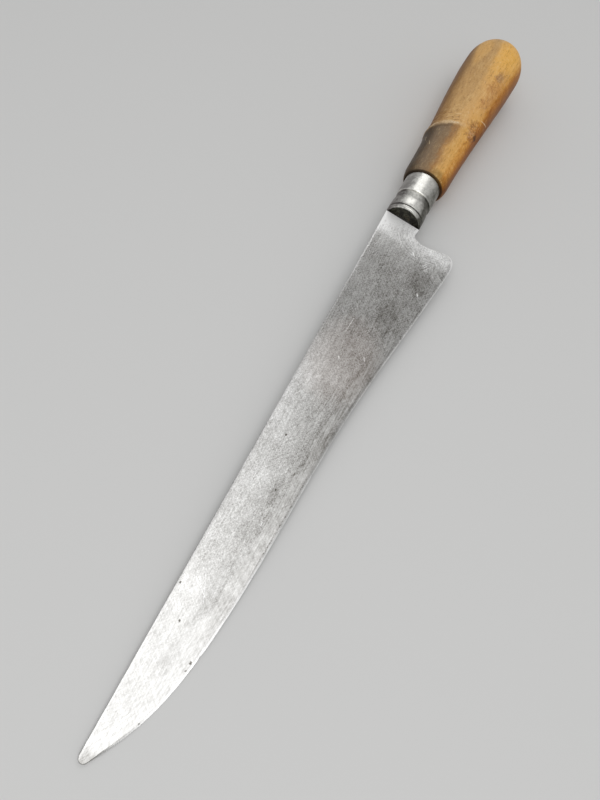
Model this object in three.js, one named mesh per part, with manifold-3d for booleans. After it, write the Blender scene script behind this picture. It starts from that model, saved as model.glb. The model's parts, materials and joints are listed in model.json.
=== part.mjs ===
// A cook's knife lying on its side: a forged blade whose tang is bedded in pitch inside a turned ferrule
// and a horn handle. Millimetres. The knife's own axes: X runs along the handle's axis from the ferrule's
// front rim (X = 0) to the tip, Y from the spine's side to the cutting edge's, Z out of the upper face.
import * as THREE from "three";
import { mergeVertices } from "three/addons/utils/BufferGeometryUtils.js";
import Module from "manifold-3d";

// Gaps between pieces that touch on the real knife
const SEAT_GAP = 0.3; // between the blade, the ferrule, the pitch and the horn
const JOINT_GAP = 0.4; // the dark line between the ferrule and the horn

// Blade, seen from above. Depths are measured from the spine's level at the shoulder.
const BLADE_LENGTH = 254; // shoulder to tip
const SPINE_OFFSET = 9; // from the handle's axis to the spine at the shoulder
const SPINE_DROP = 7.1; // how far the spine comes towards the axis by the tip
const SHOULDER_DEPTH = 18.2; // the shoulder's lower corner
const NOTCH_RADIUS = 2.7; // the round filed out under the shoulder
const NOTCH_DROP = 2.7; // its centre below the shoulder's lower corner
const NOTCH_REACH = 5.5; // shoulder to its far wall
const NOTCH_SWEEP = THREE.MathUtils.degToRad(108); // of round, up to the far wall
const HEEL_DEPTH = 41.6; // where the cutting edge starts
const HEEL_LENGTH = 13.3; // shoulder to where the cutting edge starts
const HEEL_BACK = 4.1; // shoulder to the back of the heel's lobe
const LOBE_HEIGHT = 5.4; // the round lower part of the heel
const MID_DEPTH = 29.6; // the edge where it runs straightest
const MID_LENGTH = 148; // shoulder to that stretch
const TIP_RADIUS = 1.2;

// How the blade's curves leave their ends: rise of the edge over its run, and pulls of the curves
const HEEL_SLOPE = 0.137;
const MID_SLOPE = 0.016;
const TIP_SLOPE = 0.856;
const HOLLOW_PULL = 45;
const BELLY_PULL = 64;
const TIP_PULL = 17;
const BACK_BOW = 1.7; // the heel's back first runs towards the tip
const BACK_FALL = 3.8;
const BACK_LANDING = 5;
const LOBE_FALL = 3.5;
const LOBE_RUN = 6.4;
const LOBE_SAG = 0.5; // the lobe hangs a little below the start of the edge

// Blade, seen in section
const SPINE_AT_SHOULDER = 3.2; // thickness
const SPINE_AT_TIP = 1.2;
const EDGE_AT_HEEL = 0.7; // behind the honed bevel
const HONED_WIDTH = 0.9; // the bevel along the cutting edge
const EDGE_LAND = 0.1; // thickness left at the worn edge
const FILED_WIDTH = 1.1; // the chamfer round the notch and down the heel's back
const FILED_DEPTH = 0.4;
const CORNER_EASE = 0.3; // the softened corners of spine and shoulder

// Tang, part of the same forging
const TANG_LENGTH = 78; // behind the ferrule's rim
const TANG_ROOT_WIDTH = 8;
const TANG_END_WIDTH = 3.6;
const TANG_STEP = 1.1; // how much thinner it is than the spine at the shoulder
const TANG_ROOT_DEPTH = 4; // how far its bar runs on into the blade

// Ferrule: a turned sleeve, its outside given as wall over the bore
const FERRULE_BORE = 8; // radius
const FERRULE_LENGTH = 23.7;
const LIP_LENGTH = 1.5;
const LIP_WALL = 1.15;
const LIP_ROUND = 0.55;
const GROOVE_LENGTH = 0.7;
const GROOVE_WALL = 0.75;
const BEAD_CROWN = 4.4; // from the rim to the bead's fullest ring
const BEAD_WALL = 1.15;
const COVE_WALL = 0.5;
const BAND_LENGTH = 11.9;
const BAND_WALL = 1.1;
const BAND_CHAMFER = 0.25;

// Horn handle
const HORN_LENGTH = 109.2; // behind the ferrule
const HORN_STEP = 0.6; // how far its front stands proud of the ferrule's band
const HORN_EASE_LENGTH = 6; // the rounded start behind that front
const HORN_EASE_RISE = 1.7;
const HORN_BELLY_RADIUS = 15.5;
const BUTT_LENGTH = 16.5; // the dome behind the belly
const BUTT_DROP = 0.9; // the butt leans to the edge's side
const SPIGOT_LENGTH = 13.5; // inside the ferrule
const RIDGE_AT = 34; // the growth ridge, behind the ferrule
const RIDGE_HEIGHT = 0.8; // on the spine's side, sinking to nothing on the edge's side
const RIDGE_SPREAD = 3.4; // from its crest to where it has all but sunk into the horn
const RIDGE_SLANT = 3.6; // it lies this much further back on the edge's side than on top

// Pitch
const PITCH_BED = 1.3; // between the tang's corners and the bore in the horn
const BORE_PAST_TANG = 3;

// Where it touches the table
const REST_FROM_TIP = 23; // the point of the edge that touches, along the blade
const REST_SEARCH = 0.001; // step along the belly's curve, which runs from 0 to 1

const ROUND_STEPS = 64;
const EDGE_STEPS = 44; // along each of the edge's two curves
const HORN_STEPS = 24;
const CURVE_STEPS = 8;
const MERGE_WITHIN = 1e-4;

const wasm = await Module();
wasm.setup();

const shoulderX = SEAT_GAP; // the shoulder seats on the ferrule's rim
const tipX = shoulderX + BLADE_LENGTH;
const spineSlope = SPINE_DROP / BLADE_LENGTH;
const spineY = (x) => -SPINE_OFFSET + spineSlope * (x - shoulderX);

const at = (x, y) => new THREE.Vector2(x, y);
const arc = (centre, radius, from, to, clockwise) =>
  new THREE.EllipseCurve(centre.x, centre.y, radius, radius, from, to, clockwise);

function solidOf(geometry) {
  const bare = geometry.clone();
  bare.deleteAttribute("normal");
  bare.deleteAttribute("uv");
  const merged = mergeVertices(bare, MERGE_WITHIN);
  const triVerts = new Uint32Array(merged.index.array);
  const vertProperties = merged.attributes.position.array;
  return new wasm.Manifold(new wasm.Mesh({ numProp: 3, vertProperties, triVerts }));
}

function geometryOf(solid) {
  const { vertProperties, triVerts } = solid.getMesh();
  const geometry = new THREE.BufferGeometry();
  geometry.setAttribute("position", new THREE.BufferAttribute(vertProperties, 3));
  geometry.setIndex(new THREE.BufferAttribute(triVerts, 1));
  geometry.computeVertexNormals();
  return geometry;
}

// A turned piece. Each profile point is (distance along X, radius), from the front to the back.
function turned(profile) {
  const points = profile.map((p) => new THREE.Vector2(p.y, p.x)).reverse();
  return new THREE.LatheGeometry(points, ROUND_STEPS).rotateZ(-Math.PI / 2);
}

// The cutting edge hollows from the heel to the middle of the blade, then bellies up to the round tip
function cuttingEdge() {
  const heel = at(shoulderX + HEEL_LENGTH, spineY(shoulderX) + HEEL_DEPTH);
  const mid = at(shoulderX + MID_LENGTH, spineY(shoulderX) + MID_DEPTH);
  const noseCentre = at(tipX - TIP_RADIUS, spineY(tipX) + TIP_RADIUS);
  const noseAngle = Math.atan2(1, TIP_SLOPE);
  const nose = at(Math.cos(noseAngle), Math.sin(noseAngle)).multiplyScalar(TIP_RADIUS).add(noseCentre);
  const hollow = new THREE.CubicBezierCurve(
    heel,
    at(heel.x + HOLLOW_PULL, heel.y - HEEL_SLOPE * HOLLOW_PULL),
    at(mid.x - HOLLOW_PULL, mid.y + MID_SLOPE * HOLLOW_PULL),
    mid,
  );
  const belly = new THREE.CubicBezierCurve(
    mid,
    at(mid.x + BELLY_PULL, mid.y - MID_SLOPE * BELLY_PULL),
    at(nose.x - TIP_PULL, nose.y + TIP_SLOPE * TIP_PULL),
    nose,
  );
  return { heel, hollow, belly, noseCentre, noseAngle };
}

// The blade's outline, from the shoulder's lower corner round the heel, the edge, the tip and the spine.
// Each point says how wide the chamfer is there and how much thickness is left outside it.
function bladeOutline(edge, halfThickness) {
  const outline = [];
  const add = (points, inset, landOf) => {
    for (const p of points) {
      outline.push({ p, inset, land: landOf(p) });
    }
  };
  const honed = () => EDGE_LAND / 2;
  const filed = (p) => Math.max(EDGE_LAND / 2, halfThickness(p) - FILED_DEPTH);
  const eased = (p) => halfThickness(p) - CORNER_EASE;
  const corner = at(shoulderX, spineY(shoulderX) + SHOULDER_DEPTH);
  const notchCentre = at(shoulderX + NOTCH_REACH - NOTCH_RADIUS, corner.y + NOTCH_DROP);
  const notchWall = at(notchCentre.x + NOTCH_RADIUS, notchCentre.y);
  const lobeTop = at(shoulderX + HEEL_BACK, edge.heel.y - LOBE_HEIGHT);
  const notch = arc(notchCentre, NOTCH_RADIUS, -NOTCH_SWEEP, 0, false);
  const heelBack = new THREE.CubicBezierCurve(
    notchWall,
    at(notchWall.x + BACK_BOW, notchWall.y + BACK_FALL),
    at(lobeTop.x, lobeTop.y - BACK_LANDING),
    lobeTop,
  );
  const lobe = new THREE.CubicBezierCurve(
    lobeTop,
    at(lobeTop.x, lobeTop.y + LOBE_FALL),
    at(edge.heel.x - LOBE_RUN, edge.heel.y + LOBE_SAG),
    edge.heel,
  );
  const nose = arc(edge.noseCentre, TIP_RADIUS, edge.noseAngle, -Math.PI / 2, true);
  add([corner], CORNER_EASE, eased);
  add(notch.getPoints(CURVE_STEPS), FILED_WIDTH, filed);
  add(heelBack.getPoints(CURVE_STEPS).slice(1), FILED_WIDTH, filed);
  add(lobe.getPoints(CURVE_STEPS).slice(1, -1), HONED_WIDTH, filed);
  add(edge.hollow.getPoints(EDGE_STEPS), HONED_WIDTH, honed);
  add(edge.belly.getPoints(EDGE_STEPS).slice(1, -1), HONED_WIDTH, honed);
  add(nose.getPoints(CURVE_STEPS), CORNER_EASE, honed);
  add([at(shoulderX, spineY(shoulderX))], CORNER_EASE, eased);
  return outline;
}

// A flat-ground blade: two flat faces on the planes of its taper, joined round the outline by chamfers
// and by a narrow land.
function groundBlade(outline, halfThickness) {
  const count = outline.length;
  const inner = outline.map(({ p, inset }, i) => {
    const before = outline[(i + count - 1) % count].p;
    const after = outline[(i + 1) % count].p;
    const into = p.clone().sub(before).normalize();
    const away = after.clone().sub(p).normalize();
    const along = into.clone().add(away).normalize();
    const normal = at(along.y, -along.x);
    const mitre = Math.abs(into.dot(along));
    return p.clone().addScaledVector(normal, inset / mitre);
  });
  const rings = [
    inner.map((p) => [p.x, p.y, halfThickness(p)]),
    outline.map(({ p, land }) => [p.x, p.y, land]),
    outline.map(({ p, land }) => [p.x, p.y, -land]),
    inner.map((p) => [p.x, p.y, -halfThickness(p)]),
  ];
  const last = (rings.length - 1) * count;
  const index = [];
  for (const [a, b, c] of THREE.ShapeUtils.triangulateShape(inner, [])) {
    index.push(a, b, c, last + c, last + b, last + a);
  }
  for (let ring = 0; ring < last; ring += count) {
    for (let i = 0; i < count; i++) {
      const next = (i + 1) % count;
      index.push(ring + i, ring + next, ring + count + next);
      index.push(ring + i, ring + count + next, ring + count + i);
    }
  }
  const geometry = new THREE.BufferGeometry();
  geometry.setAttribute("position", new THREE.Float32BufferAttribute(rings.flat(2), 3));
  geometry.setIndex(index);
  return geometry;
}

// The tang is a flat bar that tapers in width from the shoulder to its end
const tangThickness = SPINE_AT_SHOULDER - TANG_STEP;
const tangTaper = (TANG_ROOT_WIDTH - TANG_END_WIDTH) / (TANG_LENGTH + shoulderX);
const tangHalfWidth = (x) => (TANG_ROOT_WIDTH - tangTaper * Math.max(0, shoulderX - x)) / 2;

// The tang's bar, grown on every side by a clearance
function tangBar(clearance) {
  const endX = -TANG_LENGTH - clearance;
  const frontX = shoulderX + TANG_ROOT_DEPTH;
  const stations = [endX, shoulderX, frontX];
  const lower = stations.map((x) => at(x, -tangHalfWidth(x) - clearance));
  const upper = stations.map((x) => at(x, tangHalfWidth(x) + clearance)).reverse();
  const depth = tangThickness + 2 * clearance;
  const outline = new THREE.Shape([...lower, ...upper]);
  const bar = new THREE.ExtrudeGeometry(outline, { depth, bevelEnabled: false });
  return solidOf(bar.translate(0, 0, -depth / 2));
}

function bladeGeometry(edge) {
  const face = new THREE.Plane().setFromCoplanarPoints(
    new THREE.Vector3(shoulderX, spineY(shoulderX), SPINE_AT_SHOULDER / 2),
    new THREE.Vector3(tipX, spineY(tipX), SPINE_AT_TIP / 2),
    new THREE.Vector3(edge.heel.x, edge.heel.y, EDGE_AT_HEEL / 2),
  );
  const halfThickness = (p) => -(face.normal.x * p.x + face.normal.y * p.y + face.constant) / face.normal.z;
  const ground = solidOf(groundBlade(bladeOutline(edge, halfThickness), halfThickness));
  return geometryOf(ground.add(tangBar(0)));
}

const bandRadius = FERRULE_BORE + BAND_WALL;

// From the rim: a rounded lip, a groove, a bead that falls to a cove, and a plain band over the spigot
function ferruleGeometry() {
  const lipRadius = FERRULE_BORE + LIP_WALL;
  const grooveRadius = FERRULE_BORE + GROOVE_WALL;
  const beadRadius = FERRULE_BORE + BEAD_WALL;
  const coveRadius = FERRULE_BORE + COVE_WALL;
  const grooveFront = -LIP_LENGTH;
  const grooveBack = grooveFront - GROOVE_LENGTH;
  const bandFront = -FERRULE_LENGTH + BAND_LENGTH;
  const lipRound = arc(at(-LIP_ROUND, lipRadius - LIP_ROUND), LIP_ROUND, 0, Math.PI / 2, false);
  const beadFront = new THREE.QuadraticBezierCurve(
    at(grooveBack, grooveRadius),
    at(grooveBack, beadRadius),
    at(-BEAD_CROWN, beadRadius),
  );
  const halfFall = (-BEAD_CROWN - bandFront) / 2;
  const beadBack = new THREE.CubicBezierCurve(
    at(-BEAD_CROWN, beadRadius),
    at(-BEAD_CROWN - halfFall, beadRadius),
    at(bandFront + halfFall, coveRadius),
    at(bandFront, coveRadius),
  );
  return turned([
    at(0, FERRULE_BORE),
    ...lipRound.getPoints(CURVE_STEPS / 2),
    at(grooveFront, lipRadius),
    at(grooveFront, grooveRadius),
    ...beadFront.getPoints(CURVE_STEPS),
    ...beadBack.getPoints(CURVE_STEPS).slice(1),
    at(bandFront, bandRadius - BAND_CHAMFER),
    at(bandFront - BAND_CHAMFER, bandRadius),
    at(-FERRULE_LENGTH + BAND_CHAMFER, bandRadius),
    at(-FERRULE_LENGTH, bandRadius - BAND_CHAMFER),
    at(-FERRULE_LENGTH, FERRULE_BORE),
    at(0, FERRULE_BORE),
  ]);
}

const hornFrontX = -FERRULE_LENGTH - JOINT_GAP;
const buttX = hornFrontX - HORN_LENGTH;
const bellyX = buttX + BUTT_LENGTH;
const spigotX = hornFrontX + SPIGOT_LENGTH;
const boreEndX = -TANG_LENGTH - BORE_PAST_TANG;
const boreRadius = (x) => Math.hypot(tangHalfWidth(x), tangThickness / 2) + PITCH_BED;

// How far the horn's axis has swung to the edge's side at X: straight as far as the bore, bent behind it
function hornBend(x) {
  const past = Math.max(0, (boreEndX - x) / (boreEndX - buttX));
  return BUTT_DROP * past * past;
}

function hornGeometry() {
  const spigotRadius = FERRULE_BORE - SEAT_GAP;
  const frontRadius = bandRadius + HORN_STEP;
  const swellRadius = frontRadius + HORN_EASE_RISE;
  const swellX = hornFrontX - HORN_EASE_LENGTH;
  const swellPull = (bellyX - swellX) / 3;
  const ease = new THREE.EllipseCurve(swellX, frontRadius, HORN_EASE_LENGTH, HORN_EASE_RISE, 0, Math.PI / 2);
  const swell = new THREE.CubicBezierCurve(
    at(swellX, swellRadius),
    at(swellX + swellPull, swellRadius),
    at(bellyX - swellPull, HORN_BELLY_RADIUS),
    at(bellyX, HORN_BELLY_RADIUS),
  );
  const butt = new THREE.EllipseCurve(bellyX, 0, BUTT_LENGTH, HORN_BELLY_RADIUS, Math.PI / 2, Math.PI);
  const body = turned([
    at(spigotX, 0),
    at(spigotX, spigotRadius),
    at(hornFrontX, spigotRadius),
    ...ease.getPoints(CURVE_STEPS),
    ...swell.getPoints(HORN_STEPS).slice(1),
    ...butt.getPoints(CURVE_STEPS).slice(1),
  ]);
  const position = body.attributes.position;
  for (let i = 0; i < position.count; i++) {
    const p = new THREE.Vector3().fromBufferAttribute(position, i);
    const radius = Math.hypot(p.y, p.z);
    if (radius > spigotRadius) {
      const edgeward = p.y / radius; // from -1 on the spine's side to 1 on the edge's
      const crestX = hornFrontX - RIDGE_AT - RIDGE_SLANT * edgeward;
      const height = (RIDGE_HEIGHT * (1 - edgeward)) / 2;
      const ridge = height * Math.exp(-(((p.x - crestX) / RIDGE_SPREAD) ** 2));
      p.y *= 1 + ridge / radius;
      p.z *= 1 + ridge / radius;
    }
    position.setXYZ(i, p.x, p.y + hornBend(p.x), p.z);
  }
  const bore = turned([
    at(spigotX + SEAT_GAP, 0),
    at(spigotX + SEAT_GAP, boreRadius(spigotX)),
    at(boreEndX, boreRadius(boreEndX)),
    at(boreEndX, 0),
  ]);
  return geometryOf(solidOf(body).subtract(solidOf(bore)));
}

// One pour of pitch: it comes up to the ferrule's rim behind the shoulder, sinking a little at the lip, fills
// the ferrule in front of the spigot, and beds the tang in the horn's bore
function pitchGeometry() {
  const plugRadius = FERRULE_BORE - SEAT_GAP;
  const faceX = shoulderX - SEAT_GAP;
  const plugEndX = spigotX + SEAT_GAP;
  const sleeveEndX = boreEndX + SEAT_GAP;
  const dome = new THREE.QuadraticBezierCurve(
    at(faceX, TANG_ROOT_WIDTH / 2),
    at(faceX, plugRadius),
    at(-LIP_ROUND, plugRadius),
  );
  const cast = turned([
    at(faceX, 0),
    ...dome.getPoints(CURVE_STEPS),
    at(plugEndX, plugRadius),
    at(plugEndX, boreRadius(spigotX) - SEAT_GAP),
    at(sleeveEndX, boreRadius(boreEndX) - SEAT_GAP),
    at(sleeveEndX, 0),
  ]);
  return geometryOf(solidOf(cast).subtract(tangBar(SEAT_GAP)));
}

// The upward normal of the table, in the knife's axes: the table touches the edge along its tangent at
// one point near the tip, and the horn under its belly.
function tableNormal(edge) {
  let t = 0;
  while (t < 1 && edge.belly.getPoint(t).x < tipX - REST_FROM_TIP) {
    t += REST_SEARCH;
  }
  const touch = edge.belly.getPoint(t);
  const tangent = edge.belly.getTangent(t);
  const square = at(-tangent.y, tangent.x);
  const belly = at(bellyX, hornBend(bellyX));
  const reach = square.dot(belly.sub(touch)); // from the tangent's line to the belly's centre
  const lean = Math.asin((HORN_BELLY_RADIUS - EDGE_LAND / 2) / reach);
  return new THREE.Vector3(square.x * Math.sin(lean), square.y * Math.sin(lean), Math.cos(lean));
}

const edge = cuttingEdge();
const steel = new THREE.MeshStandardMaterial({ color: 0xa3a4a2, roughness: 0.42, metalness: 0.9 });
const nickelSilver = new THREE.MeshStandardMaterial({ color: 0xc4c0b2, roughness: 0.3, metalness: 0.95 });
const blackPitch = new THREE.MeshStandardMaterial({ color: 0x2a2723, roughness: 0.75, metalness: 0 });
const horn = new THREE.MeshStandardMaterial({ color: 0xa87c45, roughness: 0.32, metalness: 0 });

const knife = new THREE.Group();
const handle = new THREE.Group();
const pieces = [
  [knife, "blade", bladeGeometry(edge), steel],
  [handle, "ferrule", ferruleGeometry(), nickelSilver],
  [handle, "tang_pitch", pitchGeometry(), blackPitch],
  [handle, "horn_handle", hornGeometry(), horn],
];
for (const [group, name, geometry, material] of pieces) {
  const mesh = new THREE.Mesh(geometry, material);
  mesh.name = name;
  group.add(mesh);
}
knife.add(handle);

// Lay the knife on the table, with the origin under the middle of its box
const lying = new THREE.Group();
knife.quaternion.setFromUnitVectors(tableNormal(edge), new THREE.Vector3(0, 0, 1));
lying.add(knife);
lying.updateMatrixWorld(true);
const box = new THREE.Box3().setFromObject(lying, true);
const middle = box.getCenter(new THREE.Vector3());
knife.position.set(-middle.x, -middle.y, -box.min.z);

export default lying;
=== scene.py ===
"""A cook's knife lying on a pale table: a forged blade whose tang is bedded in pitch inside a turned ferrule
and a horn handle. The pieces are drawn in the knife's own axes, in millimetres."""
import json
import math

import bpy
import numpy as np
from mathutils import Matrix, Vector, geometry, noise


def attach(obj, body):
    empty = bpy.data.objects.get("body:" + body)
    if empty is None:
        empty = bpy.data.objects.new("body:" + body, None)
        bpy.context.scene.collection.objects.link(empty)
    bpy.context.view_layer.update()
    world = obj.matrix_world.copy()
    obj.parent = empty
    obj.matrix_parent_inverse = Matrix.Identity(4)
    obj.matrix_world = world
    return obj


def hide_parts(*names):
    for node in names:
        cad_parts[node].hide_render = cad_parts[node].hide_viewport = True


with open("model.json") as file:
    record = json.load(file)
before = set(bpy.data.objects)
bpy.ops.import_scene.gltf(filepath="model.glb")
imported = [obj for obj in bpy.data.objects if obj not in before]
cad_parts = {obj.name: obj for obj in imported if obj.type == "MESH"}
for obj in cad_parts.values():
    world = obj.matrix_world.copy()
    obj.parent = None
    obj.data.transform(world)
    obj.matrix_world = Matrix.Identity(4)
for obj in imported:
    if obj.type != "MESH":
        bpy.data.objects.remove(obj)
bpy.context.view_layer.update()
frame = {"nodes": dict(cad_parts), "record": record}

# The knife as it lies. Its axes run along the handle to the tip (X, from the ferrule's rim), to the cutting
# edge (Y) and out of the upper flat (Z). Both flats are ground alike, so their two normals give Z, and the
# ferrule, which is round, gives the place of the axis.
MM = 0.001

flats = {mount["name"]: Vector(mount["axis"]) for mount in frame["record"]["mounts"]}
out_of_flat = (flats["upper_flat"] - flats["lower_flat"]).normalized()
lean = Vector((0, 0, 1)).rotation_difference(out_of_flat).to_matrix()
sleeve = np.array([lean.transposed() @ v.co for v in frame["nodes"]["ferrule"].data.vertices])
middle = (sleeve.min(axis=0) + sleeve.max(axis=0)) / 2
rim_centre = Vector((sleeve[:, 0].max(), middle[1], middle[2]))
knife = Matrix.Translation(lean @ rim_centre) @ lean.to_4x4()


# The blade: one forging of carbon steel with its tang, ground flat on both faces from the spine to a honed
# edge. The notch and the heel's back are filed, and the spine and shoulder corners are eased. It seats on
# the ferrule's rim.
SEAT_GAP = 0.3
BLADE_LENGTH = 254
SHOULDER_X = SEAT_GAP
TIP_X = SHOULDER_X + BLADE_LENGTH
SPINE_OFFSET = 9  # from the handle's axis to the spine at the shoulder
SPINE_DROP = 6.75  # how far the spine comes towards the axis by the tip
SHOULDER_DEPTH = 18.2
NOTCH_RADIUS = 2.9
NOTCH_DROP = 2.35
NOTCH_REACH = 6.05
NOTCH_SWEEP = math.radians(108)
HEEL_DEPTH = 40.6
HEEL_LENGTH = 13.3
HEEL_BACK = 4.1
LOBE_HEIGHT = 4.4
MID_DEPTH = 29.5  # the edge where it runs straightest
MID_LENGTH = 148
TIP_RADIUS = 2
HEEL_SLOPE, MID_SLOPE, TIP_SLOPE = 0.1, 0.016, 0.638  # the edge's rise over its run
NOTCH_PULL, BACK_PULL = Vector((1.7, 3.8)), Vector((0, 5))  # the ends of the curve down the heel's back
LOBE_PULL, HEEL_PULL = Vector((0, 3)), Vector((6.4, -0.45))  # the ends of the heel's round lobe
HOLLOW_PULL, BELLY_PULL, TIP_PULL = 62.7, 72, 18.6  # the ends of the edge's two long curves
SPINE_AT_SHOULDER, SPINE_AT_TIP, EDGE_AT_HEEL = 3.2, 1.2, 0.7  # thicknesses
HONED_WIDTH, FILED_WIDTH, FILED_DEPTH = 0.9, 1.1, 0.4
BEVEL_RUN_OUT = 7  # over which the bevel narrows before the tip
EDGE_LAND = 0.1
CORNER_EASE = 0.35
GRIND_WAVE = 0.03  # how far hand grinding leaves the flats from true
GRIND_SPAN = 26  # from one such wave to the next
FACES_APART = 7  # in the noise, so the two flats differ
EDGE_WEAR, WEAR_SPAN = 0.07, 3  # unevenness of the honed edge
EDGE_NICKS = ((58, 0.25), (97, 0.2), (131, 0.3), (176, 0.18), (209, 0.22))  # place along the blade, depth
NICK_WIDTH = 0.5
TANG_LENGTH = 78
TANG_ROOT_WIDTH, TANG_END_WIDTH = 8, 3.6
TANG_THICKNESS = 2.1
TANG_ROOT_DEPTH = 4  # how far the bar runs on into the blade
FACE_ROWS = 26  # from spine to edge
EDGE_STEPS = 150  # along each of the edge's two curves
ROUND_STEPS = 16  # along each small curve of the outline
EASE_STEPS = 3  # round the spine's corner
NOTCH_SPINE, BACK_SPINE = 9.5, 1.5  # the lengths of spine whose columns end at the notch and heel's back
LOBE_CROWDING = 0.75  # spine to edge, for the columns that start behind the heel
SETTLED = 70  # past the heel's back, where the columns run straight across
WELD_REACH = 0.002  # points closer than this are one
SHARP_ANGLE = math.radians(32)
STAINS = (((25, 21), (7, 5)), ((50, 16), (8, 4)), ((144, 11.2), (5.5, 2.2)))  # middle, half sizes
SCRATCHES = (  # start, end, width
    ((31.4, 22.6), (33.5, 23.9), 0.7),
    ((13.4, 11.6), (15.2, 13.6), 0.6),
    ((14.3, 11.4), (15, 12.4), 0.35),
    ((60, 3.4), (68, 3.2), 0.2),
    ((73.8, 15.8), (75.6, 17), 0.35),
    ((79.4, 5.8), (80.7, 6.9), 0.5),
    ((156.7, 12.5), (158.8, 12.9), 0.3),
    ((182, 3), (193, 8.5), 0.18),
    ((186, 1), (191, 8), 0.16),
)
RUST_HOLES = (  # middle, half length
    ((122, 3.5), 0.5),
    ((143.6, 11), 0.5),
    ((190.6, -2.6), 0.4),
    ((201.9, 4.1), 0.5),
    ((212, 15), 0.55),
    ((214.9, 14.9), 0.4),
    ((236, 10), 0.45),
)


def spine_y(x):
    return -SPINE_OFFSET + SPINE_DROP / BLADE_LENGTH * (x - SHOULDER_X)


def curve(start, pull_start, pull_end, end, steps):
    points = geometry.interpolate_bezier(start, pull_start, pull_end, end, steps + 1)
    return [p.to_2d() for p in points]


def smooth(share):
    """A share kept between 0 and 1, with a smooth start and end."""
    share = min(1, max(0, share))
    return share * share * (3 - 2 * share)


def arc(centre, radius, begin, end, steps):
    angles = np.linspace(begin, end, steps + 1)
    return [centre + radius * Vector((math.cos(a), math.sin(a))) for a in angles]


corner = Vector((SHOULDER_X, spine_y(SHOULDER_X) + SHOULDER_DEPTH))
notch_centre = corner + Vector((NOTCH_REACH - NOTCH_RADIUS, NOTCH_DROP))
notch_wall = notch_centre + Vector((NOTCH_RADIUS, 0))
heel = Vector((SHOULDER_X + HEEL_LENGTH, spine_y(SHOULDER_X) + HEEL_DEPTH))
lobe_top = Vector((SHOULDER_X + HEEL_BACK, heel.y - LOBE_HEIGHT))
edge_mid = Vector((SHOULDER_X + MID_LENGTH, spine_y(SHOULDER_X) + MID_DEPTH))
nose_centre = Vector((TIP_X - TIP_RADIUS, spine_y(TIP_X) + TIP_RADIUS))
nose_turn = math.atan2(1, TIP_SLOPE)
nose_start = nose_centre + TIP_RADIUS * Vector((math.cos(nose_turn), math.sin(nose_turn)))

notch = arc(notch_centre, NOTCH_RADIUS, -NOTCH_SWEEP, 0, ROUND_STEPS)
back = curve(notch_wall, notch_wall + NOTCH_PULL, lobe_top - BACK_PULL, lobe_top, ROUND_STEPS)
lobe = curve(lobe_top, lobe_top + LOBE_PULL, heel - HEEL_PULL, heel, ROUND_STEPS)
hollow = curve(
    heel,
    heel + HOLLOW_PULL * Vector((1, -HEEL_SLOPE)),
    edge_mid + HOLLOW_PULL * Vector((-1, MID_SLOPE)),
    edge_mid,
    EDGE_STEPS,
)
belly = curve(
    edge_mid,
    edge_mid + BELLY_PULL * Vector((1, -MID_SLOPE)),
    nose_start + TIP_PULL * Vector((-1, TIP_SLOPE)),
    nose_start,
    EDGE_STEPS,
)
nose = arc(nose_centre, TIP_RADIUS, nose_turn, -math.pi / 2, ROUND_STEPS)
filed_line = [corner] + notch + back[1:]
honed_line = lobe[1:] + hollow[1:] + belly[1:]
outline = filed_line + honed_line + nose[1:]

slant_along = (SPINE_AT_SHOULDER - SPINE_AT_TIP) / 2 / BLADE_LENGTH
heel_fall = (SPINE_AT_SHOULDER - EDGE_AT_HEEL) / 2 - slant_along * HEEL_LENGTH
slant_across = heel_fall / (heel.y - spine_y(heel.x))


def half_thickness(p):
    return SPINE_AT_SHOULDER / 2 - slant_along * (p.x - SHOULDER_X) - slant_across * (p.y - spine_y(p.x))


def grind(p, face):
    """The small hollows and swells that grinding by hand leaves in a flat."""
    return GRIND_WAVE * noise.noise(Vector((p.x / GRIND_SPAN, p.y / GRIND_SPAN, FACES_APART * face)))


def worn(p, inward):
    """A point of the honed edge, with its wear and nicks."""
    depth = EDGE_WEAR * (0.5 + noise.noise(Vector((p.x / WEAR_SPAN, p.y / WEAR_SPAN, 0))) / 2)
    for nick_x, nick_depth in EDGE_NICKS:
        depth += nick_depth * math.exp(-(((p.x - nick_x) / NICK_WIDTH) ** 2))
    return p + depth * inward


def inward_normals(line):
    """Unit vectors across an outline, towards the blade's middle."""
    points = np.array(line)
    along = np.gradient(points, axis=0)
    across = np.stack([along[:, 1], -along[:, 0]], axis=1)
    across /= np.linalg.norm(across, axis=1, keepdims=True)
    return [Vector(n) for n in across]


def spine_end(p, index):
    """Where the column of points that ends at outline point p starts on the spine."""
    if index < len(filed_line):
        on_back = max(0, index - len(notch)) / len(back)
        x = SHOULDER_X + NOTCH_SPINE * min(1, index / len(notch)) + BACK_SPINE * on_back
    else:
        past_back = p.x - lobe_top.x
        crowded = SHOULDER_X + NOTCH_SPINE + BACK_SPINE + LOBE_CROWDING * past_back
        settled = smooth(past_back / SETTLED)
        x = (1 - settled) * crowded + settled * p.x
    x = min(x, TIP_X - TIP_RADIUS)
    return Vector((x, spine_y(x)))


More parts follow.
